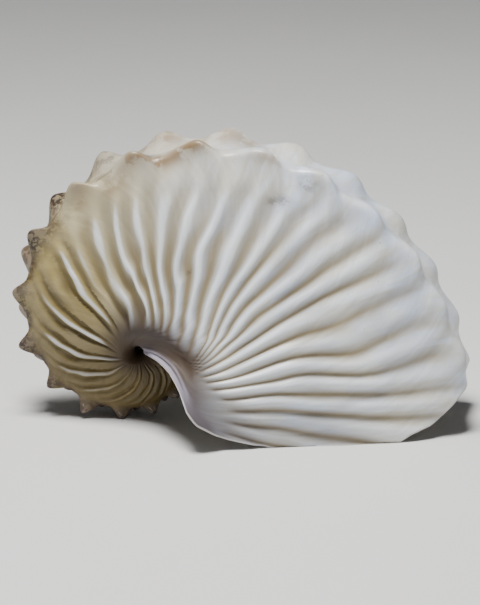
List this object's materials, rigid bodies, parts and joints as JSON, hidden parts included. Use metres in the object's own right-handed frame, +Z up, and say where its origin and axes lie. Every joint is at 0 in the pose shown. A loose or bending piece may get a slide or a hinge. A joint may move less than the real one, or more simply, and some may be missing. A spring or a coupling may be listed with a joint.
{
  "type": "argonaut shell",
  "caption": "Thin coiled argonaut shell with a broad keel edged by two rows of knobs, an open mouth facing down and a tight umbilicus on each side.",
  "frame": {"origin": "centre of the shell's bounding box at its base, on the surface that the lip rests on", "axes": "+Z up, +X along the coil towards the newest end of the keel, Y along the coil's own axis, across the shell"},
  "size_m": [0.0796, 0.0402, 0.0507],
  "materials": {
    "shell": "semi-gloss ivory calcite, stained brown on the oldest knobs"
  },
  "bodies": {
    "root": {"argonaut_shell": "shell"}
  },
  "joints": []
}
